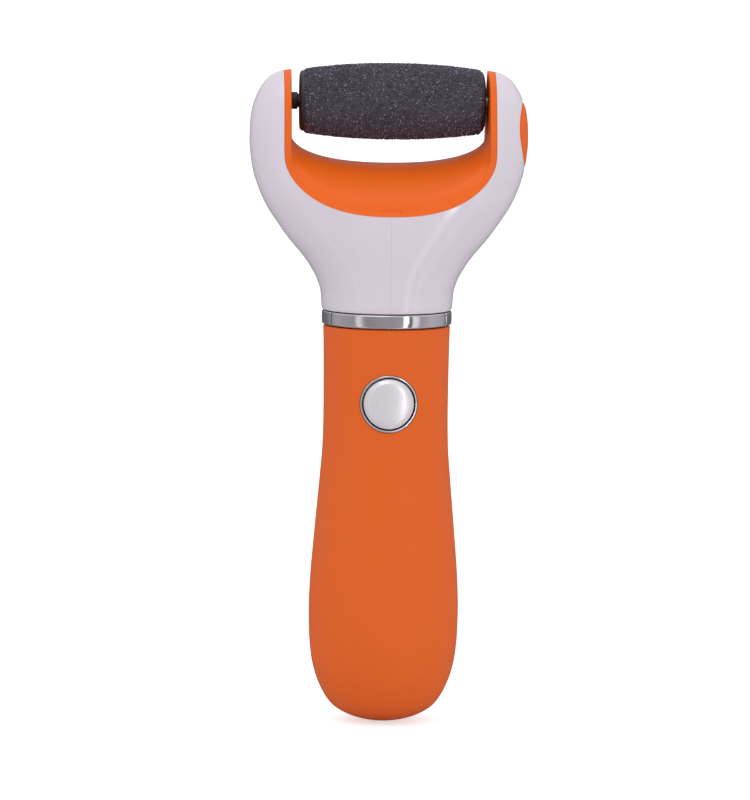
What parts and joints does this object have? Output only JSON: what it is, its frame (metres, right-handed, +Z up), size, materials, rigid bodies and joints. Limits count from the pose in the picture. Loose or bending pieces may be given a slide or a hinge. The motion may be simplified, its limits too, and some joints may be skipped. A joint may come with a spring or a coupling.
{
  "type": "electric callus remover",
  "caption": "Hand-held electric callus remover: waisted orange handle, chrome neck ring, glossy white forked head with an orange cradle and a barrel-shaped grit roller.",
  "frame": {"origin": "bottom end of the handle, on its long axis", "axes": "+Z up the handle towards the roller, -Y the front with the power button, +X the release button side; the roller turns about X"},
  "size_m": [0.075, 0.0382, 0.1784],
  "materials": {
    "soft_orange": "soft-touch coating over moulded plastic, matte",
    "gloss_white": "injection moulded, polished",
    "satin_orange": "injection moulded, satin",
    "chrome": "bright plated",
    "silver": "satin silver paint",
    "abrasive": "bonded mineral grit, coarse",
    "black_plastic": "injection moulded, fine spark texture",
    "white_plastic": "natural engineering plastic",
    "steel": "bright drawn",
    "brass": "turned",
    "cell_wrap": "shrink sleeve",
    "board_green": "solder mask"
  },
  "bodies": {
    "handle": {"handle_sleeve": "soft_orange", "switch_bezel": "chrome"},
    "head_unit": {"neck_ring_front": "chrome", "neck_ring_back": "chrome", "head_shell_left": "gloss_white", "head_shell_right": "gloss_white", "roller_cradle": "satin_orange", "release_pivot": "steel", "release_spring": "steel", "idler_pin_upper": "steel", "idler_pin_lower": "steel", "gear_plate": "white_plastic", "bush_left": "brass", "bush_right": "brass", "chassis": "white_plastic", "motor_can": "steel", "motor_end_bell": "black_plastic", "motor_screw_front": "steel", "motor_screw_back": "steel", "circuit_board": "board_green", "capacitor": "black_plastic", "switch_body": "steel", "battery_tray": "black_plastic", "battery_left": "cell_wrap", "battery_right": "cell_wrap", "contact_coil_left": "steel", "contact_coil_right": "steel", "contact_plate_left": "brass", "contact_plate_right": "brass"},
    "power_button": {"power_button": "silver"},
    "switch_plunger": {"switch_plunger": "black_plastic"},
    "latch_tab_left": {"latch_tab_left": "chrome"},
    "latch_tab_right": {"latch_tab_right": "chrome"},
    "roller": {"grit_sleeve": "abrasive", "roller_core": "white_plastic", "drive_end_cap": "black_plastic", "idle_end_cap": "black_plastic"},
    "output_drive": {"output_gear": "white_plastic", "drive_dog": "black_plastic"},
    "idler_upper": {"idler_gear_upper": "white_plastic"},
    "idler_lower": {"idler_gear_lower": "white_plastic"},
    "cross_drive": {"cross_shaft": "steel", "cross_spur": "white_plastic", "crown_gear": "white_plastic"},
    "motor_rotor": {"motor_shaft": "brass"},
    "release_rocker": {"release_button": "satin_orange"},
    "release_pin": {"release_pin": "steel"}
  },
  "joints": [
    {"name": "handle_release_slide", "type": "slide", "parent": "handle", "child": "head_unit", "axis": [0, 0, 1], "range_m": [0, 0.105]},
    {"name": "power_press", "type": "slide", "parent": "handle", "child": "power_button", "axis": [0, 1, 0], "range_m": [0, 0.0012], "stiffness_N_per_m": 1500},
    {"name": "plunger_press", "type": "slide", "parent": "head_unit", "child": "switch_plunger", "axis": [0, 1, 0], "range_m": [0, 0.0012]},
    {"name": "latch_left_press", "type": "slide", "parent": "head_unit", "child": "latch_tab_left", "axis": [1, 0, 0], "range_m": [0, 0.0008], "stiffness_N_per_m": 4000},
    {"name": "latch_right_press", "type": "slide", "parent": "head_unit", "child": "latch_tab_right", "axis": [-1, 0, 0], "range_m": [0, 0.0008], "stiffness_N_per_m": 4000},
    {"name": "roller_spin", "type": "hinge", "parent": "head_unit", "child": "roller", "pos_m": [0, 0, 0.1682], "axis": [1, 0, 0], "continuous": true},
    {"name": "output_spin", "type": "hinge", "parent": "head_unit", "child": "output_drive", "pos_m": [-0.03, 0, 0.1682], "axis": [1, 0, 0], "continuous": true},
    {"name": "idler_upper_spin", "type": "hinge", "parent": "head_unit", "child": "idler_upper", "pos_m": [-0.03, 0, 0.1578], "axis": [1, 0, 0], "continuous": true},
    {"name": "idler_lower_spin", "type": "hinge", "parent": "head_unit", "child": "idler_lower", "pos_m": [-0.0257, 0, 0.1466], "axis": [1, 0, 0], "continuous": true},
    {"name": "cross_spin", "type": "hinge", "parent": "head_unit", "child": "cross_drive", "pos_m": [-0.008, 0, 0.137], "axis": [1, 0, 0], "continuous": true},
    {"name": "motor_spin", "type": "hinge", "parent": "head_unit", "child": "motor_rotor", "pos_m": [0, 0, 0.129], "axis": [0, 0, 1], "continuous": true},
    {"name": "release_rock", "type": "hinge", "parent": "head_unit", "child": "release_rocker", "pos_m": [0.0318, 0, 0.16], "axis": [0, 1, 0], "range_deg": [0, 10], "stiffness_Nm_per_rad": 0.05},
    {"name": "release_pin_slide", "type": "slide", "parent": "head_unit", "child": "release_pin", "axis": [1, 0, 0], "range_m": [0, 0.00143]}
  ],
  "couplings": [
    {"joint": "plunger_press", "follows": "power_press", "ratio": 1},
    {"joint": "output_spin", "follows": "roller_spin", "ratio": 1},
    {"joint": "idler_upper_spin", "follows": "roller_spin", "ratio": -0.625},
    {"joint": "idler_lower_spin", "follows": "roller_spin", "ratio": 0.83333},
    {"joint": "cross_spin", "follows": "roller_spin", "ratio": -0.83333},
    {"joint": "motor_spin", "follows": "roller_spin", "ratio": 2.1667},
    {"joint": "release_pin_slide", "follows": "release_rock", "m_per_rad": 0.0082}
  ]
}
